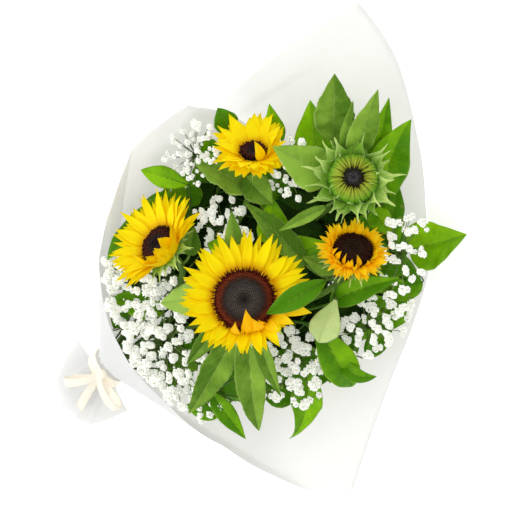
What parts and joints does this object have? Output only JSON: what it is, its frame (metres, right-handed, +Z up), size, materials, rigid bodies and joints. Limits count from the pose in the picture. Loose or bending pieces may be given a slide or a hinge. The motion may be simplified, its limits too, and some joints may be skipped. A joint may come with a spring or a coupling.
{
  "type": "sunflower bouquet",
  "caption": "Cut sunflowers, a green half-open sunflower, gypsophila and glossy foliage, rolled in a sheet of paper, tied with a ribbon bow and laid on its back.",
  "frame": {"origin": "on the surface that the bunch lies on, under the middle of its bounding box", "axes": "+Y runs along the bunch from the cut stems to the heads, +Z up from the surface, +X to the right of someone who looks along +Y"},
  "size_m": [0.4234, 0.5848, 0.1946],
  "materials": {
    "white_paper": "matt sheet with soft creases",
    "cream_ribbon": "satin woven ribbon with fine cross ribs",
    "twine": "matt twisted string",
    "yellow_petal": "satin petals with fine long ribs",
    "amber_petal": "satin petals with fine long ribs",
    "dark_disc": "matt, close florets",
    "bud_rays": "satin, ribbed towards the middle",
    "sunflower_green": "matt, downy leaves with paler veins",
    "bud_green": "matt, downy bracts with paler ribs",
    "glossy_green": "glossy leaves with a pale midrib",
    "gypsophila": "matt white blossoms on thin green stalks"
  },
  "bodies": {
    "root": {"wrap_sheet": "white_paper", "ribbon": "cream_ribbon", "stem_twine": "twine", "sunflower_front_disc": "dark_disc", "sunflower_front_rays": "yellow_petal", "sunflower_front_greens": "sunflower_green", "sunflower_left_disc": "dark_disc", "sunflower_left_rays": "yellow_petal", "sunflower_left_greens": "sunflower_green", "sunflower_upper_disc": "dark_disc", "sunflower_upper_rays": "yellow_petal", "sunflower_upper_greens": "sunflower_green", "sunflower_right_disc": "dark_disc", "sunflower_right_rays": "amber_petal", "sunflower_right_greens": "sunflower_green", "sunflower_bud_eye": "dark_disc", "sunflower_bud_rays": "bud_rays", "sunflower_bud_greens": "bud_green", "gypsophila_lip": "gypsophila", "gypsophila_left": "gypsophila", "gypsophila_inner": "gypsophila", "gypsophila_upper_left": "gypsophila", "gypsophila_back": "gypsophila", "gypsophila_upper_right": "gypsophila", "gypsophila_right": "gypsophila", "gypsophila_low": "gypsophila", "foliage_right": "glossy_green", "foliage_back": "glossy_green", "foliage_left": "glossy_green", "foliage_upper_left": "glossy_green", "foliage_back_left": "glossy_green", "foliage_middle": "glossy_green", "foliage_side": "glossy_green", "foliage_low_right": "glossy_green", "foliage_low": "glossy_green", "foliage_lip": "glossy_green"}
  },
  "joints": []
}
